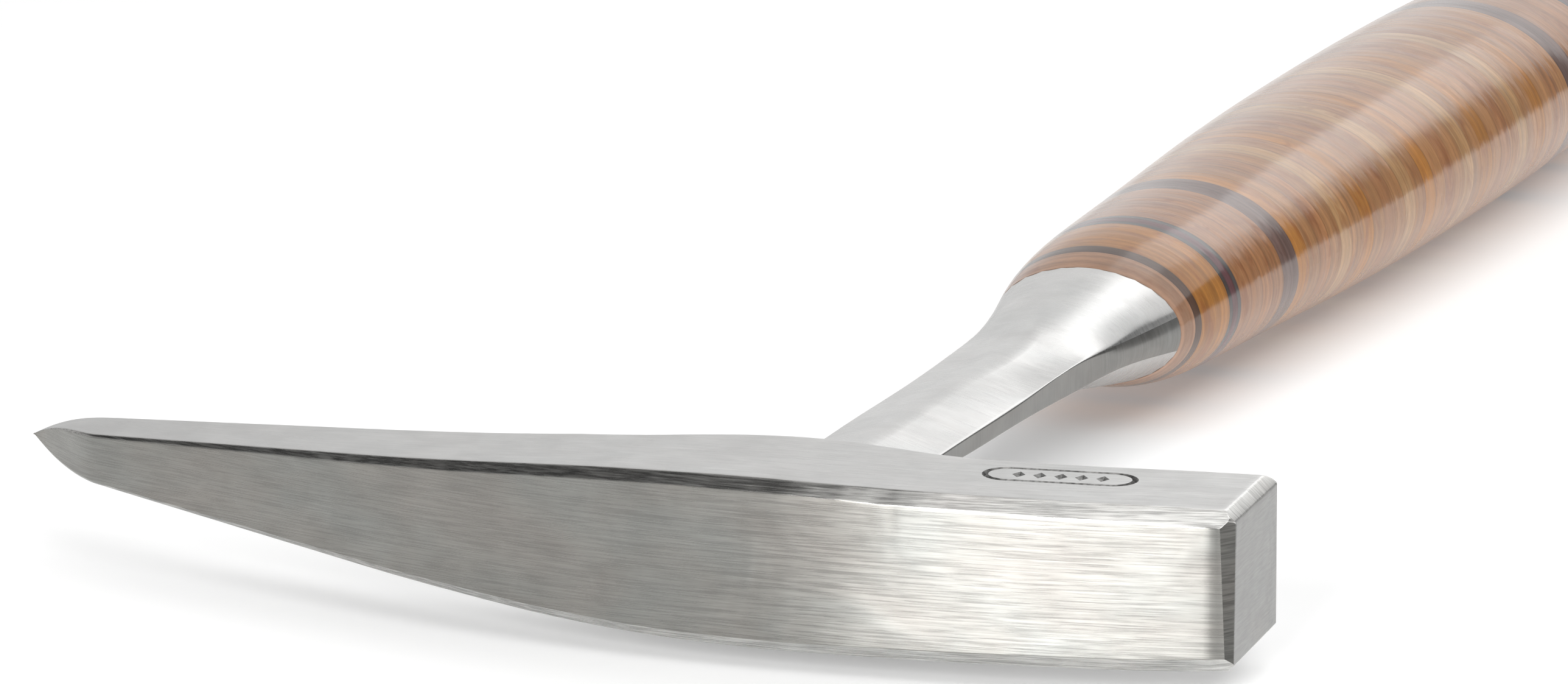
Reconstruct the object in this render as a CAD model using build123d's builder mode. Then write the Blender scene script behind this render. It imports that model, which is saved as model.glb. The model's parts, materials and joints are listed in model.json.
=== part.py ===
from build123d import *
import os
from math import cos, radians, sin

os.makedirs("parts", exist_ok=True)

# A geologist's hammer forged in one piece, lying on its cheek. All lengths are in millimetres.
# It is modelled about the handle: the Y axis is the handle's axis and runs to the butt, +X points
# to the striking face and -X to the pick, and z = 0 is the mid-plane between the two cheeks.
# Every piece is moved once, at its export, so that z = 0 becomes the surface the hammer lies on.

# Head, along x
head_length = 179.0
striking_face_x = 68.8
pick_tip_x = striking_face_x - head_length
face_droop = 5.0
crown_x = -2.0
crown_y = -6.8
crown_radius_to_pick = 190.0
crown_radius_to_poll = 270.0
pick_straight_x = -55.0
waist_x = -28.0
waist_y = 14.7
waist_radius = 193.0
poll_depth = 22.6
poll_depth_growth = 0.045
poll_start_x = 30.0
root_swell = 3.5
root_swell_x = 4.0
root_swell_half_length = 27.0
thickest_x = 8.0
thickest_half = 11.55
thickness_radius = 402.0
taper_start_x = -30.0
cheek_slope_to_poll = 0.009
roll_off_x = 55.0
roll_off_radius = 320.0
edge_chamfer = 1.3
edge_chamfer_x = -30.0
chamfer_growth_to_poll = 0.0075
chamfer_growth_to_pick = 0.0142
face_chamfer = 1.4

# Ground point of the pick
point_start_x = -97.0
point_y = 22.3
point_depth_power = 1.5
point_thickness_power = 3.5
point_blunt = 0.04

# Shank and collar, along y
shank_half_width = 9.0
shank_ridge = 3.9
shank_side = 1.2
collar_y = 131.7
collar_half_width = 13.7
collar_half_depth = 8.2

# Grip: a stack of discs with the same rings, in reverse order, at the butt
tang_width = 12.0
tang_thickness = 5.0
tang_clearance = 0.15
cap_thickness = 6.0
cap_edge_radius = 3.0
washer_radius = 8.0
washer_thickness = 1.2
rivet_radius = 6.0
rivet_height = 2.6

# Stack at the collar, from the steel outwards: name of the layer and its thickness
END_STACK = [
    ("leather", 3.9),
    ("ring_brown", 1.8),
    ("leather", 4.45),
    ("leather", 4.45),
    ("ring_grey_inner", 1.0),
    ("ring_plum", 1.8),
    ("ring_grey_outer", 1.0),
    ("leather", 3.85),
    ("leather", 3.85),
    ("leather", 3.85),
    ("leather", 3.85),
    ("ring_umber_inner", 2.7),
    ("ring_umber_outer", 2.7),
]
middle_discs = 28
middle_disc_thickness = 3.95

end_stack_length = sum(thickness for name, thickness in END_STACK)
grip_end_y = collar_y + 2 * end_stack_length + middle_discs * middle_disc_thickness
butt_y = grip_end_y + cap_thickness + washer_thickness + rivet_height


def front_y(x):
    """Outer face of the head: the face that points away from the handle."""
    if x > crown_x:
        return crown_y + (x - crown_x) ** 2 / (2 * crown_radius_to_poll)
    curved_x = max(x, pick_straight_x)
    slope = (curved_x - crown_x) / crown_radius_to_pick
    return crown_y + (curved_x - crown_x) ** 2 / (2 * crown_radius_to_pick) + slope * (x - curved_x)


def root_bulge(x):
    """How far the head swells towards the handle where the shank grows out of it."""
    share = min(abs(x - root_swell_x) / root_swell_half_length, 1.0)
    return root_swell * cos(radians(90 * share)) ** 2


def back_y(x):
    """Inner face of the head: the face on the handle's side."""
    if x > poll_start_x:
        return front_y(x) + poll_depth + poll_depth_growth * (x - poll_start_x)
    if x > waist_x:
        share = (x - waist_x) / (poll_start_x - waist_x)
        poll_start_y = front_y(poll_start_x) + poll_depth
        return waist_y + share ** 2 * (poll_start_y - waist_y) + root_bulge(x)
    curved_x = max(x, pick_straight_x)
    slope = (curved_x - waist_x) / waist_radius
    return waist_y + (curved_x - waist_x) ** 2 / (2 * waist_radius) + slope * (x - curved_x)


def half_thickness(x):
    """Half the distance between the cheeks."""
    if x > thickest_x:
        roll_off = max(x - roll_off_x, 0.0) ** 2 / (2 * roll_off_radius)
        return thickest_half - cheek_slope_to_poll * (x - thickest_x) - roll_off
    curved_x = max(x, taper_start_x)
    slope = (thickest_x - curved_x) / thickness_radius
    return thickest_half - (thickest_x - curved_x) ** 2 / (2 * thickness_radius) + slope * (x - curved_x)


def chamfer_size(x):
    """The chamfer along the head's long edges, which narrows towards the pick."""
    growth = chamfer_growth_to_poll if x > edge_chamfer_x else chamfer_growth_to_pick
    return edge_chamfer + growth * (x - edge_chamfer_x)


def head_section(x, depth_scale=1.0, thickness_scale=1.0):
    """Corners, as (y, z), of the head's eight-sided section, shrunk towards the pick's point."""
    front = front_y(x)
    back = back_y(x)
    half = half_thickness(x)
    chamfer = chamfer_size(x)
    corners = [
        (front, chamfer - half),
        (front, half - chamfer),
        (front + chamfer, half),
        (back - chamfer, half),
        (back, half - chamfer),
        (back, chamfer - half),
        (back - chamfer, -half),
        (front + chamfer, -half),
    ]
    return [(point_y + depth_scale * (y - point_y), thickness_scale * z) for y, z in corners]


def point_section(x):
    """The head's section where it is ground to the pick's point."""
    share = (x - point_start_x) / (pick_tip_x - point_start_x)
    depth_scale = max(1.0 - share ** point_depth_power, point_blunt)
    thickness_scale = max(1.0 - share ** point_thickness_power, point_blunt)
    return head_section(x, depth_scale, thickness_scale)


def hexagon(half_width, side, ridge):
    """Corners, as (x, z), of the shank's section: two narrow side walls and a ridge on each face."""
    return [
        (half_width, -side),
        (half_width, side),
        (0, ridge),
        (-half_width, side),
        (-half_width, -side),
        (0, -ridge),
    ]


def across(y):
    """The plane across the handle at y, with its own axes along x and z."""
    return Plane.XZ.offset(-y)


# Grip outline: (y, half of the long axis, half of the short axis). It swells quickly from the
# collar, is full at the palm and tapers a little to the butt.
GRIP_OUTLINE = [
    (collar_y, collar_half_width, collar_half_depth),
    (137.0, 14.6, 9.9),
    (149.0, 15.7, 11.4),
    (171.0, 16.7, 12.2),
    (211.0, 18.6, 13.6),
    (250.0, 19.2, 14.1),
    (280.0, 19.0, 13.95),
    (302.0, 18.3, 13.4),
    (grip_end_y, 17.2, 12.5),
]

# Shank sections: (y, half width, half of the side wall, half of the ridge height). The root, inside
# the head, flares into the cheeks.
SHANK_SECTIONS = [
    (13.0, 24.0, 6.5, 10.6),
    (20.0, 15.5, 4.2, 8.2),
    (29.0, 11.4, 2.4, 5.6),
    (42.0, shank_half_width + 0.4, shank_side, shank_ridge + 0.3),
    (62.0, shank_half_width, shank_side, shank_ridge),
    (85.0, shank_half_width, shank_side + 0.2, shank_ridge + 0.2),
    (106.0, shank_half_width + 0.3, shank_side + 0.7, shank_ridge + 0.5),
]

# Collar sections: (y, half width, half depth)
COLLAR_SECTIONS = [
    (118.0, 10.9, 6.0),
    (collar_y, collar_half_width, collar_half_depth),
]
# The collar's oval in six arcs, one for each side of the hexagon: (start angle, arc)
corner_angle = 17.0
side_arc = 90 - corner_angle
corner_arcs = [
    (-corner_angle, 2 * corner_angle),
    (corner_angle, side_arc),
    (90, side_arc),
    (180 - corner_angle, 2 * corner_angle),
    (180 + corner_angle, side_arc),
    (270, side_arc),
]

head_stations = [-97.0, -85.0, -72.0, -58.0, -44.0, -30.0, -20.0, -12.0, -4.0, 4.0, 12.0, 20.0, 28.0, 36.0]
head_stations += [46.0, 56.0, 64.0, 72.0]
point_stations = [-97.0, -100.0, -103.0, -105.5, -107.5, -109.0, pick_tip_x]

with BuildPart() as forged_hammer:
    # Head: eight-sided sections from the start of the ground point to just past the striking face
    for station in head_stations:
        with BuildSketch(Plane.YZ.offset(station)):
            with BuildLine():
                Polyline(*head_section(station), close=True)
            make_face()
    loft()

    # The striking face leans a little towards the handle
    face_point = Vector(striking_face_x, front_y(striking_face_x), 0)
    face_normal = Vector(cos(radians(face_droop)), sin(radians(face_droop)), 0)
    split(bisect_by=Plane(origin=face_point, z_dir=face_normal), keep=Keep.BOTTOM)
    striking_face = faces().sort_by(Axis.X)[-1]
    chamfer(striking_face.edges(), face_chamfer)

    # Ground point of the pick
    for station in point_stations:
        with BuildSketch(Plane.YZ.offset(station)):
            with BuildLine():
                Polyline(*point_section(station), close=True)
            make_face()
    loft()

    # Shank and flared collar
    for y, half_width, side, ridge in SHANK_SECTIONS:
        with BuildSketch(across(y)):
            with BuildLine():
                Polyline(*hexagon(half_width, side, ridge), close=True)
            make_face()
    for y, half_width, half_depth in COLLAR_SECTIONS:
        with BuildSketch(across(y)):
            with BuildLine():
                for start_angle, arc_size in corner_arcs:
                    EllipticalCenterArc((0, 0), half_width, half_depth, start_angle, arc_size=arc_size)
            make_face()
    loft()

    # Tang through the grip, upset over the washer at its end
    with BuildSketch(across(collar_y - cap_thickness)):
        RectangleRounded(tang_width, tang_thickness, 1.0)
    extrude(amount=cap_thickness - collar_y + butt_y - rivet_height, dir=(0, 1, 0))
    with BuildSketch(Plane.XY):
        with BuildLine():
            rivet_y = butt_y - rivet_height
            Line((0, rivet_y), (rivet_radius, rivet_y))
            EllipticalCenterArc((0, rivet_y), rivet_radius, rivet_height, 0, arc_size=90)
            Line((0, butt_y), (0, rivet_y))
        make_face()
    revolve(axis=Axis.Y)

# Grip outline as one smooth body, which is then cut into the layers of the stack
with BuildPart() as grip_body:
    for y, half_width, half_depth in GRIP_OUTLINE:
        with BuildSketch(across(y)):
            Ellipse(half_width, half_depth)
    loft()

# Butt cap: an oval plate with a rounded rim and a slot for the tang
with BuildPart() as butt_cap:
    with BuildSketch(across(grip_end_y)):
        Ellipse(GRIP_OUTLINE[-1][1], GRIP_OUTLINE[-1][2])
    extrude(amount=cap_thickness, dir=(0, 1, 0))
    rim = edges().group_by(Axis.Y)[-1]
    fillet(rim, cap_edge_radius)
    with BuildSketch(across(grip_end_y)):
        RectangleRounded(tang_width + 2 * tang_clearance, tang_thickness + 2 * tang_clearance, 1.0)
    extrude(amount=cap_thickness, dir=(0, 1, 0), mode=Mode.SUBTRACT)

# Washer between the butt cap and the riveted end of the tang
with BuildPart() as tang_washer:
    with BuildSketch(across(grip_end_y + cap_thickness)):
        Circle(washer_radius)
        RectangleRounded(
            tang_width + 2 * tang_clearance, tang_thickness + 2 * tang_clearance, 1.0, mode=Mode.SUBTRACT
        )
    extrude(amount=washer_thickness, dir=(0, 1, 0))


def layer(start_y, thickness):
    """One layer of the grip's stack: a slice of the grip's outline with a slot for the tang."""
    with BuildPart() as piece:
        add(grip_body.part)
        split(bisect_by=across(start_y), keep=Keep.BOTTOM)
        split(bisect_by=across(start_y + thickness), keep=Keep.TOP)
        with BuildSketch(across(start_y)):
            RectangleRounded(
                tang_width + 2 * tang_clearance, tang_thickness + 2 * tang_clearance, 1.0
            )
        extrude(amount=thickness, dir=(0, 1, 0), mode=Mode.SUBTRACT)
    return piece.part


# The hammer lies on the grip's belly, and its origin is below the middle of its outline
outline = forged_hammer.part.bounding_box()
middle_x = (outline.min.X + outline.max.X) / 2
middle_y = (outline.min.Y + outline.max.Y) / 2
lie_down = Location((-middle_x, -middle_y, -grip_body.part.bounding_box().min.Z))


def finish(piece, name):
    """Move a finished piece to where the hammer lies, and write it."""
    placed = lie_down * piece
    placed.label = name
    export_step(placed, f"parts/{name}.step")


finish(forged_hammer.part, "forged_hammer")
finish(butt_cap.part, "butt_cap")
finish(tang_washer.part, "tang_washer")

stack = [(name, "collar", thickness) for name, thickness in END_STACK]
stack += [("leather", "middle", middle_disc_thickness)] * middle_discs
stack += [(name, "butt", thickness) for name, thickness in reversed(END_STACK)]

layer_y = collar_y
disc_number = 0
for name, end, thickness in stack:
    if name == "leather":
        disc_number += 1
        node = f"leather_disc_{disc_number:02d}"
    else:
        node = f"{end}_{name}"
    finish(layer(layer_y, thickness), node)
    layer_y += thickness
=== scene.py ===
import bmesh
import bpy
import json
import math
import numpy as np
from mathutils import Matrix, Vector


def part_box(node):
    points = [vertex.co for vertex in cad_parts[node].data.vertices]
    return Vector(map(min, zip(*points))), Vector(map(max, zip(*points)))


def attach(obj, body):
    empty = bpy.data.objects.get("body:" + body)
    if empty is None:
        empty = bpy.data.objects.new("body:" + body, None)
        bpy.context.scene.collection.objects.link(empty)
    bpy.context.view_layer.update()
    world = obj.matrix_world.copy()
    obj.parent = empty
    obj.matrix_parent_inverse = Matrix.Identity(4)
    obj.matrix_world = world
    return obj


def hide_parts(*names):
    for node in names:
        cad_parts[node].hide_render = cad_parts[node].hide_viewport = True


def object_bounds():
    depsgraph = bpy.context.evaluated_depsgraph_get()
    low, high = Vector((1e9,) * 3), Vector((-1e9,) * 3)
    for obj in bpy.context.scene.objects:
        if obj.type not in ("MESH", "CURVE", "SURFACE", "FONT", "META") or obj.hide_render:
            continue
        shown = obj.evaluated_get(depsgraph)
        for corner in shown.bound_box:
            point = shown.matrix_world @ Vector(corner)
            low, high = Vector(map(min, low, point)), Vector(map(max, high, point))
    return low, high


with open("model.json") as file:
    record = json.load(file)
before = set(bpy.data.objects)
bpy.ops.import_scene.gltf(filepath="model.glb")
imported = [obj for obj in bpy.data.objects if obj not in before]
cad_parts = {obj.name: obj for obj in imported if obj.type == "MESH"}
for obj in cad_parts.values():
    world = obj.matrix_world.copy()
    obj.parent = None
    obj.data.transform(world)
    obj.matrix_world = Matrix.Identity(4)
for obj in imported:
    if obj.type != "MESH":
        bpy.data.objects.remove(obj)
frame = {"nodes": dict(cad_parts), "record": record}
cad_low, cad_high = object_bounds()

# Places on the hammer are given in millimetres: x towards the striking face, y along the handle
# from the head to the butt, z up from the mid-plane between the two cheeks. The leather starts
# GRIP_START along the handle.
MM = 0.001
GRIP_START = 131.7
low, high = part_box("leather_disc_01")
HEAD = Vector(((low.x + high.x) / 2, low.y - GRIP_START * MM, (low.z + high.z) / 2))


# The head's outer face is two arcs that meet at its crown, and its scratches follow a single arc
CROWN_X = -2.0
CROWN_Y = -6.8
RADIUS_TO_PICK = 190.0
RADIUS_TO_POLL = 270.0
SCRATCH_RADIUS = 230.0


def at(x, y, z):
    """A place on the hammer, in metres in the frame."""
    return HEAD + Vector((x, y, z)) * MM


# ---------------------------------------------------------------- node helpers

def new_material(name):
    """A material and its shader."""
    material = bpy.data.materials.new(name)
    material.use_nodes = True
    nodes = material.node_tree.nodes
    nodes.clear()
    output = nodes.new("ShaderNodeOutputMaterial")
    shader = nodes.new("ShaderNodeBsdfPrincipled")
    material.node_tree.links.new(shader.outputs[0], output.inputs[0])
    return material, shader


class Graph:
    """Short names for the nodes that the materials share. Its position is in millimetres."""

    def __init__(self, material):
        self.tree = material.node_tree
        coords = self.node("ShaderNodeTexCoord")
        place = self.node("ShaderNodeMapping")
        place.inputs["Location"].default_value = [-v / MM for v in HEAD]
        place.inputs["Scale"].default_value = (1 / MM, 1 / MM, 1 / MM)
        self.link(coords.outputs["Object"], place.inputs["Vector"])
        self.position = place.outputs[0]
        split = self.node("ShaderNodeSeparateXYZ")
        self.link(self.position, split.inputs[0])
        self.x, self.y, self.z = split.outputs

    def node(self, kind):
        return self.tree.nodes.new(kind)

    def follow_head(self):
        """Bends the position so that what runs along x follows the head's curve."""
        from_crown = self.math("ABSOLUTE", self.math("SUBTRACT", self.x, CROWN_X))
        bend = self.math("MULTIPLY", self.math("POWER", from_crown, 2.0), 1 / (2 * SCRATCH_RADIUS))
        on_head = self.remap(self.y, 20, 30, 1, 0)
        bent = self.node("ShaderNodeCombineXYZ")
        self.link(self.x, bent.inputs[0])
        self.link(self.math("SUBTRACT", self.y, self.math("MULTIPLY", bend, on_head)), bent.inputs[1])
        self.link(self.z, bent.inputs[2])
        self.position = bent.outputs[0]

    def link(self, source, target):
        self.tree.links.new(source, target)

    def put(self, value, socket):
        if hasattr(value, "is_output"):
            self.link(value, socket)
        else:
            socket.default_value = value

    def math(self, operation, a, b=0.0):
        node = self.node("ShaderNodeMath")
        node.operation = operation
        self.put(a, node.inputs[0])
        self.put(b, node.inputs[1])
        return node.outputs[0]

    def noise(self, scale, shift=(0, 0, 0), detail=3.0, roughness=0.6, distortion=0.0):
        """Noise whose features are 1 / scale millimetres long along each axis."""
        mapping = self.node("ShaderNodeMapping")
        mapping.inputs["Scale"].default_value = scale
        mapping.inputs["Location"].default_value = shift
        self.link(self.position, mapping.inputs["Vector"])
        node = self.node("ShaderNodeTexNoise")
        node.inputs["Scale"].default_value = 1.0
        node.inputs["Detail"].default_value = detail
        node.inputs["Roughness"].default_value = roughness
        node.inputs["Distortion"].default_value = distortion
        self.link(mapping.outputs[0], node.inputs["Vector"])
        return node.outputs[0]

    def ramp(self, value, stops):
        """Colours by value, from a list of (value, colour)."""
        node = self.node("ShaderNodeValToRGB")
        elements = node.color_ramp.elements
        while len(elements) < len(stops):
            elements.new(0.5)
        for element, (position, color) in zip(elements, stops):
            element.position = position
            element.color = (*color, 1.0)
        self.link(value, node.inputs[0])
        return node.outputs[0]

    def remap(self, value, low, high, to_low, to_high, smooth=False):
        """Turns values from low to high into values from to_low to to_high, and keeps within them."""
        node = self.node("ShaderNodeMapRange")
        if smooth:
            node.interpolation_type = "SMOOTHSTEP"
        self.put(value, node.inputs[0])
        for socket, number in zip(list(node.inputs)[1:5], (low, high, to_low, to_high)):
            socket.default_value = number
        return node.outputs[0]

    def mix(self, share, a, b, blend="MIX"):
        """Two colours mixed: a alone for a share of 0, and b, or a times b, for a share of 1."""
        node = self.node("ShaderNodeMix")
        node.data_type = "RGBA"
        node.blend_type = blend
        self.put(share, node.inputs[0])
        self.put(a, node.inputs[6])
        self.put(b, node.inputs[7])
        return node.outputs[2]

    def bump(self, height, distance, normal=None):
        """A bump of so many millimetres for a height from 0 to 1."""
        node = self.node("ShaderNodeBump")
        node.inputs["Distance"].default_value = distance * MM
        self.link(height, node.inputs["Height"])
        if normal is not None:
            self.link(normal, node.inputs["Normal"])
        return node.outputs[0]


def steel(name, grain, lines, tone, contrast, roughness, stretch, cut, warmth, painted_light_falloff=0.0):
    """Ground steel. grain is the way the grinding ran, lines is how many scratches lie on each
    millimetre along x, y and z, and cut is their depth in millimetres. stretch, from 0 to 1, is how far
    highlights are drawn out across the grain. painted_light_falloff is painted light and shade: how much
    lighter than its tone the steel is painted towards the striking face, and how much darker towards the
    tip."""
    material, shader = new_material(name)
    g = Graph(material)
    shader.inputs["Metallic"].default_value = 1.0
    shader.inputs["Anisotropic"].default_value = stretch
    shader.inputs["Anisotropic Rotation"].default_value = 0.25
    seed = sum(ord(letter) for letter in name) * 0.37
    g.follow_head()
    fine = g.noise(lines, (seed, 0, 0), 2.0, 0.55)
    coarse = g.noise([n * 0.42 for n in lines], (0, seed, 0), 2.0, 0.5)
    blotch = g.noise((0.07, 0.09, 0.09), (0, 0, seed), 2.0, 0.5, 0.6)
    scratches = g.math("ADD", g.math("MULTIPLY", fine, 0.8), g.math("MULTIPLY", coarse, 0.2))
    value = g.remap(scratches, 0.36, 0.64, tone * (1 - contrast), tone * (1 + contrast))
    # Painted light and shade: lighter towards the striking face and darker towards the tip, standing in
    # for how the light falls off along the head
    painted_falloff = g.remap(g.x, -100, 65, 1 - painted_light_falloff, 1 + painted_light_falloff)
    value = g.math("MULTIPLY", value, painted_falloff)
    patches = g.noise((0.13, 0.16, 0.22), (seed, 0, 4), 3.0, 0.6, 0.3)
    value = g.math("MULTIPLY", value, g.remap(patches, 0.35, 0.65, 0.94, 1.06))
    # Brownish to greenish greys, nearer to neutral on steel of little warmth
    tints = [(0.3, (1.0, 0.968, 0.92)), (0.5, (1.0, 0.984, 0.938)), (0.7, (0.985, 0.988, 0.95))]
    tints = [(place, tuple(1 - (1 - c) * (0.35 + warmth) for c in tint)) for place, tint in tints]
    tint = g.ramp(blotch, tints)
    g.link(g.mix(1.0, value, tint, "MULTIPLY"), shader.inputs["Base Color"])
    uneven_roughness = g.remap(scratches, 0.35, 0.65, roughness - 0.04, roughness + 0.05)
    g.link(uneven_roughness, shader.inputs["Roughness"])
    tangent = g.node("ShaderNodeCombineXYZ")
    for socket, number in zip(tangent.inputs, Vector(grain).normalized()):
        socket.default_value = number
    g.link(tangent.outputs[0], shader.inputs["Tangent"])
    ripple = g.bump(blotch, 0.12)
    g.link(g.bump(scratches, cut, ripple), shader.inputs["Normal"])
    return material


# name, grain, lines, tone, contrast, roughness, stretch, cut, warmth and painted_light_falloff, the
# painted light and shade along the head
STEELS = [
    steel("steel_front", (1, 0, 0), (0.14, 0.2, 5.2), 0.29, 0.17, 0.28, 0.95, 0.003, 1.0),
    steel("steel_cheek", (1, 0, 0), (0.14, 3.6, 0.2), 0.50, 0.12, 0.31, 0.85, 0.002, 0.0, 0.13),
    steel("steel_long_chamfer", (1, 0, 0), (0.16, 4.2, 4.2), 0.455, 0.3, 0.27, 0.85, 0.005, 0.4, 0.18),
    steel("steel_shank", (1, 0, 0), (0.16, 2.6, 0.3), 0.515, 0.04, 0.29, 0.6, 0.001, 0.0),
    # Painted shade: the shank's upright sides are painted at under half the tone of its top
    steel("steel_shank_side", (0, 0, 1), (0.3, 2.2, 0.2), 0.24, 0.1, 0.32, 0.6, 0.002, 0.6),
    steel("steel_striking_face", (0, 1, -0.08), (3.0, 0.16, 4.4), 0.255, 0.2, 0.34, 0.85, 0.003, 0.4),
    # Painted shade: the striking face's chamfer on the outer and inner faces is painted at half the
    # outer face's tone
    steel("steel_face_front", (1, 0, 0), (0.2, 0.2, 3.4), 0.145, 0.3, 0.36, 0.7, 0.01, 1.0),
    # Painted light: the striking face's chamfer over the cheeks is painted lighter than the cheeks
    steel("steel_face_cheek", (1, 0, 0), (0.3, 2.4, 0.3), 0.59, 0.2, 0.36, 0.7, 0.015, 0.3),
    steel("steel_stamp", (1, 0, 0), (1.6, 1.6, 1.6), 0.2, 0.5, 0.5, 0.0, 0.05, 0.3),
]
FRONT, CHEEK, CHAMFER, SHANK_TOP, SHANK_SIDE, STRIKING, FACE_FRONT, FACE_CHEEK, STAMPED = range(9)


# What a varnish stain leaves of the leather's red, green and blue
STAIN = (0.62, 0.42, 0.3)
# How much darker and lighter than its tone a leather's layers are
LAYER_CONTRAST = 0.22


def leather(name, tone, seed, y0, y1):
    """A disc of varnished sole leather between y0 and y1 along the handle."""
    material, shader = new_material(name)
    g = Graph(material)
    layers = g.noise((0.02, 0.95, 0.02), (seed, seed, 0), 3.0, 0.55, 0.15)
    clouds = g.noise((0.08, 0.3, 0.08), (0, seed, seed), 2.0, 0.55, 0.4)
    pores = g.noise((0.8, 2.6, 0.8), (seed, 0, seed), 2.0, 0.6)
    dark = tuple(c * (1 - LAYER_CONTRAST) for c in tone)
    light = tuple(c * (1 + LAYER_CONTRAST) for c in tone)
    color = g.ramp(layers, [(0.34, dark), (0.5, tone), (0.68, light)])
    color = g.mix(1.0, color, g.remap(clouds, 0.35, 0.65, 0.86, 1.1), "MULTIPLY")
    color = g.mix(1.0, color, g.remap(pores, 0.3, 0.7, 0.93, 1.06), "MULTIPLY")
    spots = g.noise((0.11, 0.26, 0.11), (seed, 3, 0), 3.0, 0.6, 0.8)
    stain = (*[c * s for c, s in zip(tone, STAIN)], 1.0)
    color = g.mix(g.remap(spots, 0.5, 0.68, 0, 0.55, True), color, stain)
    half = (y1 - y0) / 2
    from_middle = g.math("ABSOLUTE", g.math("SUBTRACT", g.y, (y0 + y1) / 2))
    seam = g.remap(from_middle, half - 0.3, half, 1.0, 0.82, True)
    color = g.mix(1.0, color, seam, "MULTIPLY")
    g.link(color, shader.inputs["Base Color"])
    g.link(g.remap(clouds, 0.3, 0.7, 0.5, 0.62), shader.inputs["Roughness"])
    shader.inputs["Specular IOR Level"].default_value = 0.12
    shader.inputs["Coat Weight"].default_value = 1.0
    shader.inputs["Coat Roughness"].default_value = 0.16
    shader.inputs["Coat IOR"].default_value = 1.5
    g.link(g.bump(pores, 0.015), shader.inputs["Normal"])
    wave = g.noise((0.07, 0.32, 0.07), (3, 5, 7), 2.0, 0.5)
    g.link(g.bump(wave, 0.11), shader.inputs["Coat Normal"])
    return material


# ---------------------------------------------------------------- the forging's shape, in millimetres

FACE_X = 68.8
FACE_DROOP = math.tan(math.radians(5))
FACE_CHAMFER = 1.4
TIP_X = FACE_X - 179
POINT_START_X = -97.0
POINT_Y = 22.3
PICK_STRAIGHT_X = -55.0
ROLL_START_X = 65.6
ROLL_RADIUS = 14.0
# The inner face: its waist on the pick's side, and the poll
WAIST_X = -28.0
WAIST_Y = 14.7
WAIST_RADIUS = 193.0
POLL_START_X = 30.0
POLL_DEPTH = 22.6
POLL_DEPTH_GROWTH = 0.045
# The swell where the shank grows out of the head
ROOT_X = 4.0
ROOT_HALF_LENGTH = 27.0
ROOT_SWELL = 3.5
# The cheeks
THICKEST_X = 8.0
THICKEST_HALF = 11.55
THICKNESS_RADIUS = 402.0
TAPER_START_X = -30.0
CHEEK_SLOPE_TO_POLL = 0.009
CHEEK_ROLL_X = 55.0
CHEEK_ROLL_RADIUS = 320.0
# The long chamfers, which grow from the tip to the poll, and faster on the pick's side of CHAMFER_X
CHAMFER_SIZE = 1.3
CHAMFER_X = -30.0
CHAMFER_GROWTH_BY_POLL = 0.0075
CHAMFER_GROWTH_BY_PICK = 0.0142
CHAMFER_UNEVENNESS = 0.04


def wave(x):
    """Unevenness of hand grinding, from about -1 to 1."""
    return 0.5 * math.sin(0.31 * x + 1) + 0.3 * math.sin(0.83 * x + 2) + 0.2 * math.sin(1.7 * x)


def front_y(x):
    """The head's outer face, which rolls off a little just before the striking face."""
    if x > CROWN_X:
        roll = max(x - ROLL_START_X, 0) ** 2 / (2 * ROLL_RADIUS)
        return CROWN_Y + (x - CROWN_X) ** 2 / (2 * RADIUS_TO_POLL) + roll
    curved_x = max(x, PICK_STRAIGHT_X)
    slope = (curved_x - CROWN_X) / RADIUS_TO_PICK
    return CROWN_Y + (curved_x - CROWN_X) ** 2 / (2 * RADIUS_TO_PICK) + slope * (x - curved_x)


def back_y(x):
    """The head's inner face, on the handle's side, which swells where the shank grows out of it."""
    if x > POLL_START_X:
        front_without_roll = CROWN_Y + (x - CROWN_X) ** 2 / (2 * RADIUS_TO_POLL)
        return front_without_roll + POLL_DEPTH + POLL_DEPTH_GROWTH * (x - POLL_START_X)
    if x > WAIST_X:
        share = (x - WAIST_X) / (POLL_START_X - WAIST_X)
        from_root = min(abs(x - ROOT_X) / ROOT_HALF_LENGTH, 1.0)
        swell = ROOT_SWELL * math.cos(math.radians(90 * from_root)) ** 2
        return WAIST_Y + share ** 2 * (front_y(POLL_START_X) + POLL_DEPTH - WAIST_Y) + swell
    curved_x = max(x, PICK_STRAIGHT_X)
    slope = (curved_x - WAIST_X) / WAIST_RADIUS
    return WAIST_Y + (curved_x - WAIST_X) ** 2 / (2 * WAIST_RADIUS) + slope * (x - curved_x)


def half_thickness(x):
    """Half the distance between the cheeks."""
    if x > THICKEST_X:
        roll = max(x - CHEEK_ROLL_X, 0) ** 2 / (2 * CHEEK_ROLL_RADIUS)
        return THICKEST_HALF - CHEEK_SLOPE_TO_POLL * (x - THICKEST_X) - roll
    curved_x = max(x, TAPER_START_X)
    slope = (THICKEST_X - curved_x) / THICKNESS_RADIUS
    return THICKEST_HALF - (THICKEST_X - curved_x) ** 2 / (2 * THICKNESS_RADIUS) + slope * (x - curved_x)


def chamfer_size(x):
    """How far a long chamfer reaches across each of its two faces."""
    growth = CHAMFER_GROWTH_BY_POLL if x > CHAMFER_X else CHAMFER_GROWTH_BY_PICK
    return (CHAMFER_SIZE + growth * (x - CHAMFER_X)) * (1 + CHAMFER_UNEVENNESS * wave(x))


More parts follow.
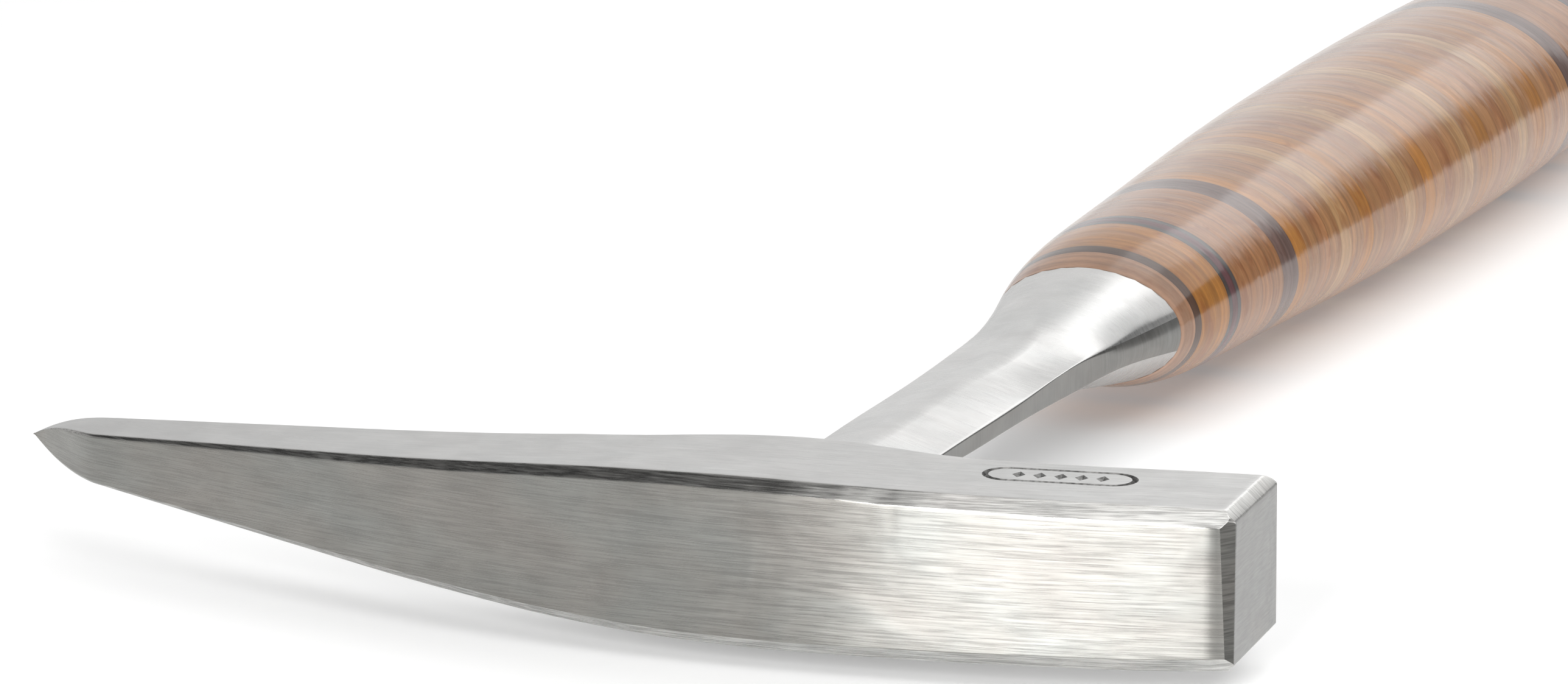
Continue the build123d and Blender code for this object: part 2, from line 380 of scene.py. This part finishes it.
def head_corners(x, inset=0.0):
    """The head's eight corners at x, as (y, z), with its sides moved in. They start at the lower end
    of the outer face and go up it, over the upper cheek, down the inner face and back along the lower
    cheek."""
    front = front_y(x) + inset
    back = back_y(x) - inset
    half = half_thickness(x) - inset
    size = max(chamfer_size(x) - 2 * inset, 0.06)
    return [
        (front, size - half), (front, half - size), (front + size, half), (back - size, half),
        (back, half - size), (back, size - half), (back - size, -half), (front + size, -half),
    ]


STRAIGHT_SHARES = (0.04, 0.2, 0.4, 0.6, 0.8, 0.96)
ARC_SHARES = (0.0, 0.25, 0.5, 0.75, 1.0)
SIDE_POINTS = len(STRAIGHT_SHARES) + len(ARC_SHARES)


def rounded_loop(corners, radii):
    """Points round a polygon whose corners are rounded. Each corner's points come before its side's."""
    corners = [Vector(corner) for corner in corners]
    count = len(corners)
    arcs = []
    for index, corner in enumerate(corners):
        before = corners[index - 1] - corner
        after = corners[(index + 1) % count] - corner
        reach = min(radii[index], 0.48 * before.length, 0.48 * after.length)
        start = corner + before.normalized() * reach
        end = corner + after.normalized() * reach
        arcs.append([start * (1 - s) ** 2 + corner * 2 * s * (1 - s) + end * s ** 2 for s in ARC_SHARES])
    points = []
    for index, arc in enumerate(arcs):
        points += arc
        side_start, side_end = arc[-1], arcs[(index + 1) % count][0]
        points += [side_start.lerp(side_end, share) for share in STRAIGHT_SHARES]
    return points


def skin(name, rings, side_slots, slot_at=None):
    """A closed mesh over rings of points. side_slots gives the material of each side of the polygon,
    and slot_at(ring, side, slot) may change it."""
    count = len(rings[0])
    sides = len(side_slots)
    vertices = [at(*point) for ring in rings for point in ring]
    faces, slots = [], []
    for ring in range(len(rings) - 1):
        for point in range(count):
            after = (point + 1) % count
            start, end = ring * count, (ring + 1) * count
            faces.append((start + point, start + after, end + after, end + point))
            side, place = divmod(point, SIDE_POINTS)
            # The first half of a corner's rounding belongs to the side before it
            if place < 2:
                side = (side - 1) % sides
            slot = side_slots[side]
            slots.append(slot if slot_at is None else slot_at(ring, side, slot))
    end_slots = {1: slots[0], -1: slots[-1]}
    for ring, direction in ((0, 1), (len(rings) - 1, -1)):
        center = sum((Vector(point) for point in rings[ring]), Vector((0, 0, 0))) / count
        vertices.append(at(*center))
        for point in range(count):
            fan = (len(vertices) - 1, ring * count + (point + 1) % count, ring * count + point)
            faces.append(fan[::direction])
            slots.append(end_slots[direction])
    mesh = bpy.data.meshes.new(name)
    mesh.from_pydata(vertices, [], faces)
    for material in STEELS:
        mesh.materials.append(material)
    mesh.polygons.foreach_set("material_index", slots)
    mesh.update()
    piece = bpy.data.objects.new(name, mesh)
    bpy.context.scene.collection.objects.link(piece)
    return piece


def outward(piece, flat=False):
    """Turns a closed mesh's faces outwards, and cuts them into triangles if they have to be flat."""
    work = bmesh.new()
    work.from_mesh(piece.data)
    bmesh.ops.recalc_face_normals(work, faces=work.faces)
    if flat:
        bmesh.ops.triangulate(work, faces=work.faces)
    work.to_mesh(piece.data)
    work.free()


# For each of the head's corners: the radius of its edge, and how large the striking face's chamfer is
# there, as a share of FACE_CHAMFER
EDGE_RADII = [0.18, 0.18, 0.25, 1.5, 1.5, 1.5, 1.5, 0.25]
FACE_CUTS = [0.65, 1.15, 1.0, 1.0, 1.0, 1.0, 1.0, 0.65]
FACE_EDGE_RADIUS = 0.25
# The rings LEAN_START behind the striking face stand square to x, and LEAN_LENGTH nearer to it they
# lean as it does
LEAN_START = 20.0
LEAN_LENGTH = 14.0
# Rings are RING_SPACING apart up to PLAIN_END_X, and closer from CLOSE_START behind the striking face
RING_SPACING = 1.5
PLAIN_END_X = 50
CLOSE_SPACING = 0.75
CLOSE_START = 18


def tip_rings():
    """Rings over the ground point, from the pick's tip."""
    stations = [TIP_X, TIP_X + 0.12, TIP_X + 0.35, TIP_X + 0.7]
    stations += list(np.arange(TIP_X + 1.2, POINT_START_X, 0.8))
    rings = []
    for x in stations:
        share = (x - POINT_START_X) / (TIP_X - POINT_START_X)
        depth = max(1 - share ** 1.5, 0.03)
        thickness = max(1 - share ** 3.5, 0.03)
        corners = [(x, POINT_Y + depth * (y - POINT_Y), thickness * z) for y, z in head_corners(x)]
        rings.append(rounded_loop(corners, EDGE_RADII))
    return rings


def face_profile():
    """The rings by the striking face, as (depth behind it, inset of the sides), and the places in the
    list where its chamfer and the face itself start."""
    profile = [(depth, 0.0) for depth in np.arange(CLOSE_START, FACE_CHAMFER + 0.5, -CLOSE_SPACING)]
    chamfer_start = len(profile) + 1
    profile += rounded_step((FACE_CHAMFER, 0.0), (1, 0), (-1, 1), FACE_EDGE_RADIUS)
    profile += [(FACE_CHAMFER / 2, FACE_CHAMFER / 2)]
    face_start = len(profile) + 1
    profile += rounded_step((0.0, FACE_CHAMFER), (1, -1), (0, 1), FACE_EDGE_RADIUS)
    profile += [(0.0, FACE_CHAMFER + 0.6), (0.0, 4.0), (0.0, 7.0)]
    return profile, chamfer_start, face_start


def head_rings():
    """Rings along the head, from the pick's tip to the striking face."""
    rings = tip_rings()
    for x in np.arange(POINT_START_X, PLAIN_END_X, RING_SPACING):
        rings.append(rounded_loop([(x, y, z) for y, z in head_corners(x)], EDGE_RADII))
    plain_rings = len(rings)
    first_y = front_y(FACE_X)
    profile, chamfer_start, face_start = face_profile()
    for depth, inset in profile:
        lean = min(max((LEAN_START - depth) / LEAN_LENGTH, 0), 1) * FACE_DROOP
        corners = []
        for index, cut in enumerate(FACE_CUTS):
            near = cut if depth <= FACE_CHAMFER + FACE_EDGE_RADIUS else 1.0
            x = FACE_X - depth * near
            # The lean depends on y and y on x, and three rounds settle them
            for _ in range(3):
                y, z = head_corners(x, inset * near)[index]
                x = FACE_X - depth * near - lean * (y - first_y)
            corners.append((x, y, z))
        rings.append(rounded_loop(corners, EDGE_RADII))
    return rings, plain_rings + chamfer_start, plain_rings + face_start


def rounded_step(corner, before, after, reach):
    """Three points of a small rounding of a corner, as (depth, inset)."""
    corner = Vector(corner)
    start = corner + Vector(before).normalized() * reach
    end = corner + Vector(after).normalized() * reach
    return [tuple(start * (1 - s) ** 2 + corner * 2 * s * (1 - s) + end * s ** 2) for s in (0, 0.5, 1)]


rings, chamfer_ring, face_ring = head_rings()


def head_slot(ring, side, slot):
    """The material of a side of the head between a ring and the next."""
    if ring >= face_ring:
        return STRIKING
    if ring >= chamfer_ring and side in (0, 4):
        return FACE_FRONT
    if ring >= chamfer_ring and side in (2, 6):
        return FACE_CHEEK
    return slot


forging = skin("steel_forging", rings, [FRONT, CHAMFER, CHEEK, CHAMFER] * 2, head_slot)
outward(forging)


# The shank, collar, tang and riveted end: loops across the handle, joined by a smooth curve
SHANK_CORNER_RADII = [0.3, 0.25, 2.0, 0.4, 0.3, 2.0]
OVAL_CORNERS = [-17, 17, 90, 163, 197, 270]
OVAL_ARC = 4.0


def hexagon_loop(half_width, side, ridge):
    """The shank's section: two upright sides of the height 2 * side, and a ridge above and below."""
    corners = [
        (half_width, -side), (half_width, side), (0, ridge),
        (-half_width, side), (-half_width, -side), (0, -ridge),
    ]
    return rounded_loop(corners, SHANK_CORNER_RADII)


def oval_angles():
    """The angles of an oval's points, which pair with the points of a hexagon_loop."""
    angles = []
    for index, corner in enumerate(OVAL_CORNERS):
        following = OVAL_CORNERS[(index + 1) % 6] + (360 if index == 5 else 0)
        angles += [corner + OVAL_ARC * (2 * s - 1) for s in ARC_SHARES]
        start, end = corner + OVAL_ARC, following - OVAL_ARC
        angles += [start + (end - start) * share for share in STRAIGHT_SHARES]
    return [math.radians(angle) for angle in angles]


def oval_loop(half_width, half_depth):
    """The collar's section."""
    return [(half_width * math.cos(a), half_depth * math.sin(a)) for a in oval_angles()]


def spline(knots, values, places):
    """A natural cubic curve through values, one row at each knot."""
    count = len(knots)
    steps = np.diff(knots)
    system = np.eye(count)
    slopes = np.diff(values, axis=0) / steps[:, None]
    right_side = np.zeros_like(values)
    for k in range(1, count - 1):
        system[k, k - 1:k + 2] = steps[k - 1], 2 * (steps[k - 1] + steps[k]), steps[k]
        right_side[k] = 6 * (slopes[k] - slopes[k - 1])
    bends = np.linalg.solve(system, right_side)
    rows = []
    for place in places:
        k = min(max(int(np.searchsorted(knots, place)) - 1, 0), count - 2)
        a, b, h = knots[k + 1] - place, place - knots[k], steps[k]
        rows.append(
            (bends[k] * a ** 3 + bends[k + 1] * b ** 3) / (6 * h)
            + (values[k] / h - bends[k] * h / 6) * a
            + (values[k + 1] / h - bends[k + 1] * h / 6) * b
        )
    return rows


# The shank's sections, each with its place along the handle
SHANK = [
    (13.0, hexagon_loop(24.0, 6.5, 10.6)),
    (20.0, hexagon_loop(15.5, 4.2, 8.2)),
    (29.0, hexagon_loop(11.4, 2.4, 5.6)),
    (42.0, hexagon_loop(9.4, 1.2, 4.2)),
    (62.0, hexagon_loop(9.0, 1.2, 3.9)),
    (85.0, hexagon_loop(9.0, 1.4, 4.1)),
    (106.0, hexagon_loop(9.3, 1.9, 4.4)),
    (118.0, oval_loop(10.9, 6.0)),
    (GRIP_START, oval_loop(13.7, 8.2)),
]
knots = np.array([y for y, loop in SHANK])
values = np.array([[tuple(point) for point in loop] for y, loop in SHANK]).reshape(len(SHANK), -1)
places = np.linspace(knots[0], knots[-1], 96)
shank_rings = []
for y, row in zip(places, spline(knots, values, places)):
    shank_rings.append([(x, y, z) for x, z in row.reshape(-1, 2)])


def node_y(node, side):
    """Where a node starts (side 0) or ends (side 1) along the handle, in millimetres."""
    return (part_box(node)[side].y - HEAD.y) / MM


# The tang's section is a rectangle with rounded corners, and a dome over the washer ends it
TANG_HALF_WIDTH = 6.0
TANG_HALF_THICKNESS = 2.5
SQUARENESS = 8
RIVET_RADIUS = 6
rivet_start = node_y("tang_washer", 1)
rivet_end = node_y("forged_hammer", 1)
round_loop = oval_loop(1, 1)
tang_loop = []
for x, z in round_loop:
    across, up_down = abs(x / TANG_HALF_WIDTH), abs(z / TANG_HALF_THICKNESS)
    reach = (across ** SQUARENESS + up_down ** SQUARENESS) ** (-1 / SQUARENESS)
    tang_loop.append((x * reach, z * reach))
for y in (GRIP_START, rivet_start):
    shank_rings.append([(x, y, z) for x, z in tang_loop])
for angle in np.linspace(0, 84, 10):
    radius = RIVET_RADIUS * math.cos(math.radians(angle))
    y = rivet_start + (rivet_end - rivet_start) * math.sin(math.radians(angle))
    shank_rings.append([(x * radius, y, z * radius) for x, z in round_loop])
shank = skin("shank", shank_rings, [SHANK_SIDE, SHANK_TOP, SHANK_TOP] * 2)
outward(shank)


def combine(piece, tool, operation):
    """Joins a closed mesh to the piece, or cuts it away, and removes the tool."""
    modifier = piece.modifiers.new("combine", "BOOLEAN")
    modifier.operation = operation
    modifier.solver = "EXACT"
    modifier.object = tool
    graph = bpy.context.evaluated_depsgraph_get()
    mesh = bpy.data.meshes.new_from_object(piece.evaluated_get(graph))
    piece.modifiers.clear()
    piece.data = mesh
    bpy.data.objects.remove(tool)


def merge_slivers(piece, distance=0.003 * MM):
    """Closes up the faces that have next to no area."""
    work = bmesh.new()
    work.from_mesh(piece.data)
    bmesh.ops.remove_doubles(work, verts=work.verts, dist=distance)
    bmesh.ops.dissolve_degenerate(work, edges=work.edges, dist=distance)
    work.to_mesh(piece.data)
    work.free()


combine(forging, shank, "UNION")

# The stamp on the upper cheek: a sunk oval line round a row of plain dimples. A groove's corners are
# given as (distance out of the line, height above the cheek), and a dimple's on the cheek as (along,
# across). The dimples' cutters reach CUT_HEIGHT above the cheek and are CUT_SPREAD times as wide there.
GROOVE_SECTION = [(-0.62, 0.4), (-0.42, 0.0), (-0.1, -0.5), (0.1, -0.5), (0.42, 0.0), (0.62, 0.4)]
GROOVE_STEPS = 73
DIMPLES = (-5.47, -2.71, 0.09, 2.83, 5.63)
DIMPLE_CORNERS = [(-0.9, 0), (0, -1.5), (0.9, 0), (0, 1.5)]
DIMPLE_DEPTH = 0.55
CUT_HEIGHT = 0.5
CUT_SPREAD = 1.9
STAMP = Vector((41.9, 10.8))
STAMP_TURN = math.radians(11)
STAMP_HALF_LENGTH = 9.9
STAMP_HALF_WIDTH = 3.1


def on_cheek(along, across, height):
    """A place by the stamp's middle, so far above the cheek."""
    x = STAMP.x + along * math.cos(STAMP_TURN) - across * math.sin(STAMP_TURN)
    y = STAMP.y + along * math.sin(STAMP_TURN) + across * math.cos(STAMP_TURN)
    return at(x, y, half_thickness(x) + height)


def oval_line():
    """The corners and faces of a cutter for the closed groove round the stamp."""
    straight = STAMP_HALF_LENGTH - STAMP_HALF_WIDTH
    vertices, faces = [], []
    for step in range(GROOVE_STEPS):
        angle = 2 * math.pi * (step + 0.3) / GROOVE_STEPS
        shift = math.copysign(straight, math.cos(angle))
        rough = 0.05 * math.sin(7.3 * step) * math.sin(2.1 * step)
        for out, height in GROOVE_SECTION:
            reach = STAMP_HALF_WIDTH + out
            along = shift + reach * math.cos(angle)
            vertices.append(on_cheek(along, (reach + rough) * math.sin(angle), height))
    count = len(GROOVE_SECTION)
    for step in range(GROOVE_STEPS):
        start = step * count
        end = (step + 1) % GROOVE_STEPS * count
        for k in range(count):
            after = (k + 1) % count
            faces.append((start + k, start + after, end + after, end + k))
    return vertices, faces


def dimple(along):
    """The corners and faces of a cutter for a four-sided dimple on the stamp's middle line."""
    vertices = [on_cheek(along + CUT_SPREAD * a, CUT_SPREAD * b, CUT_HEIGHT) for a, b in DIMPLE_CORNERS]
    vertices.append(on_cheek(along, 0.02, -DIMPLE_DEPTH))
    faces = [(4, (k + 1) % 4, k) for k in range(4)]
    faces += [(0, 1, 2), (0, 2, 3)]
    return vertices, faces


vertices, faces = oval_line()
for place in DIMPLES:
    new_vertices, new_faces = dimple(place)
    faces += [tuple(len(vertices) + index for index in face) for face in new_faces]
    vertices += new_vertices
stamp_mesh = bpy.data.meshes.new("stamp")
stamp_mesh.from_pydata(vertices, [], faces)
for material in STEELS:
    stamp_mesh.materials.append(material)
stamp_mesh.polygons.foreach_set("material_index", [STAMPED] * len(faces))
stamp = bpy.data.objects.new("stamp", stamp_mesh)
bpy.context.scene.collection.objects.link(stamp)
outward(stamp, flat=True)
combine(forging, stamp, "DIFFERENCE")
merge_slivers(forging)

# Edges that turn by more degrees than this stay crisp
SHARP_ANGLE = 32
forging.data.polygons.foreach_set("use_smooth", [True] * len(forging.data.polygons))
forging.data.set_sharp_from_angle(angle=math.radians(SHARP_ANGLE))
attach(forging, "root")
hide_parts("forged_hammer")


# ---------------------------------------------------------------- materials of the CAD pieces

def assign(node, material):
    """Gives a CAD piece a material."""
    mesh = frame["nodes"][node].data
    mesh.materials.clear()
    mesh.materials.append(material)


SLOTS = {entry["node"]: entry["material_slot"] for entry in frame["record"]["subparts"]}
TONES = {
    "leather_pink": (0.37, 0.20, 0.115),
    "leather_amber": (0.375, 0.155, 0.03),
    "leather_brown": (0.33, 0.148, 0.058),
    "leather_tan": (0.355, 0.17, 0.066),
    "leather_light": (0.42, 0.235, 0.1),
    "ring_brown": (0.08, 0.04, 0.024),
    "ring_plum": (0.11, 0.045, 0.05),
    "ring_grey": (0.07, 0.06, 0.058),
    "ring_umber": (0.125, 0.073, 0.06),
}
cap_material = steel("steel_cap", (1, 0, 0), (0.28, 3.6, 3.6), 0.5, 0.1, 0.32, 0.6, 0.003, 0.2)
# The leather's pattern moves on by this much from one disc to the next
PATTERN_STEP = 7.3
for index, (node, slot) in enumerate(SLOTS.items()):
    if slot in TONES:
        y0, y1 = node_y(node, 0), node_y(node, 1)
        assign(node, leather(node + "_varnish", TONES[slot], index * PATTERN_STEP, y0, y1))
    else:
        assign(node, cap_material)

# ---------------------------------------------------------------- floor, light and camera

FLOOR_REACH = 12.0
FLOOR_GAP = 0.0003
floor_mesh = bpy.data.meshes.new("floor")
floor_z = cad_low[2] - FLOOR_GAP
corners = [(FLOOR_REACH * x, FLOOR_REACH * y, floor_z) for x, y in ((-1, -1), (1, -1), (1, 1), (-1, 1))]
floor_mesh.from_pydata(corners, [], [(0, 1, 2, 3)])
floor = bpy.data.objects.new("floor", floor_mesh)
bpy.context.scene.collection.objects.link(floor)
floor_material, floor_shader = new_material("floor")
floor_shader.inputs["Base Color"].default_value = (0.86, 0.86, 0.86, 1)
floor_shader.inputs["Roughness"].default_value = 0.8
floor_shader.inputs["Specular IOR Level"].default_value = 0.0
floor_shader.inputs["Emission Color"].default_value = (1, 1, 1, 1)
floor_shader.inputs["Emission Strength"].default_value = 0.2
floor_mesh.materials.append(floor_material)


def panel(name, center, toward, width, height, radiance):
    """A rectangular light of an even radiance, in metres from the head."""
    data = bpy.data.lights.new(name, "AREA")
    data.shape = "RECTANGLE"
    data.size = width
    data.size_y = height
    data.energy = radiance * math.pi * width * height
    light = bpy.data.objects.new(name, data)
    light.location = HEAD + Vector(center)
    light.rotation_euler = (-Vector(toward)).to_track_quat("Z", "Y").to_euler()
    light.visible_camera = False
    bpy.context.scene.collection.objects.link(light)
    return light


# A broad panel overhead, which reaches far behind the head and to the right of it, a smaller key light
# above the front right, and a strip in front
panel("overhead", (0.65, 1.1, 1.2), (0, 0, -1), 1.85, 4.1, 1.12)
panel("key", (0.95, -0.75, 1.2), (-0.6, 0.5, -0.8), 0.9, 0.7, 2.5)
strip = panel("strip", (0.012, -1.45, 0.45), (0.0, 1.0, -0.2), 0.6, 0.9, 11.6)

# The strip lights the steel and the floor only, so that it doesn't glare in the varnish
strip_receivers = bpy.data.collections.new("strip_receivers")
strip_receivers.objects.link(forging)
strip_receivers.objects.link(floor)
strip.light_linking.receiver_collection = strip_receivers

# The room, in degrees: a bearing is 0 behind the hammer, along its handle, and grows to the right, and
# a height is up from the horizon. A white wall stands behind and to the left, a dark gap lies to the
# right of it, and elsewhere a weaker glow lies low down. Higher up it is dark. These are the radiances.
DARK = 0.07
WALL = 1.15
GLOW = 0.6
world = bpy.data.worlds.new("studio")
bpy.context.scene.world = world
world.use_nodes = True


class Room(Graph):
    """The node helpers for the world, whose x, y and z are those of a direction."""

    def __init__(self, tree):
        self.tree = tree
        coords = self.node("ShaderNodeTexCoord")
        split = self.node("ShaderNodeSeparateXYZ")
        self.link(coords.outputs["Generated"], split.inputs[0])
        self.x, self.y, self.z = split.outputs


room = Room(world.node_tree)
bearing = room.math("MULTIPLY", room.math("ARCTAN2", room.x, room.y), 180 / math.pi)
height = room.math("MULTIPLY", room.math("ARCSINE", room.z), 180 / math.pi)
wall = room.remap(bearing, -68, -50, 0, 1, True)
wall = room.math("MULTIPLY", wall, room.remap(bearing, 12, 16, 1, 0, True))
wall = room.math("MULTIPLY", wall, room.remap(height, 50, 75, 1, 0, True))
wall = room.math("MULTIPLY", wall, room.remap(height, -4, 9, 0.7, 1, True))
gap = room.remap(bearing, 9, 14, 0, 1, True)
gap = room.math("MULTIPLY", gap, room.remap(bearing, 38, 50, 1, 0, True))
glow = room.math("MULTIPLY", room.math("SUBTRACT", 1.0, gap), room.remap(height, 18, 34, 1, 0, True))
radiance = room.math("MAXIMUM", room.remap(wall, 0, 1, DARK, WALL), room.remap(glow, 0, 1, DARK, GLOW))
background = world.node_tree.nodes["Background"]
room.link(radiance, background.inputs[0])
background.inputs[1].default_value = 1.0

# The camera looks at a place so many millimetres to the right of the head and above it, in its picture
AZIMUTH = math.radians(21.86)
ELEVATION = math.radians(13.9)
DISTANCE = 2.015
AIM_RIGHT = 6.95
AIM_UP = 27.1
FOCAL_LENGTH = 353.990683
SENSOR_WIDTH = 36
back = Vector((
    math.sin(AZIMUTH) * math.cos(ELEVATION),
    -math.cos(AZIMUTH) * math.cos(ELEVATION),
    math.sin(ELEVATION),
))
right = Vector((math.cos(AZIMUTH), math.sin(AZIMUTH), 0))
up = back.cross(right)
camera_data = bpy.data.cameras.new("camera")
camera_data.sensor_width = SENSOR_WIDTH
camera_data.lens = FOCAL_LENGTH
camera = bpy.data.objects.new("camera", camera_data)
camera.location = HEAD + back * DISTANCE + right * AIM_RIGHT * MM + up * AIM_UP * MM
camera.rotation_euler = back.to_track_quat("Z", "Y").to_euler()
bpy.context.scene.collection.objects.link(camera)
bpy.context.scene.camera = camera
bpy.context.scene.view_settings.view_transform = "Standard"
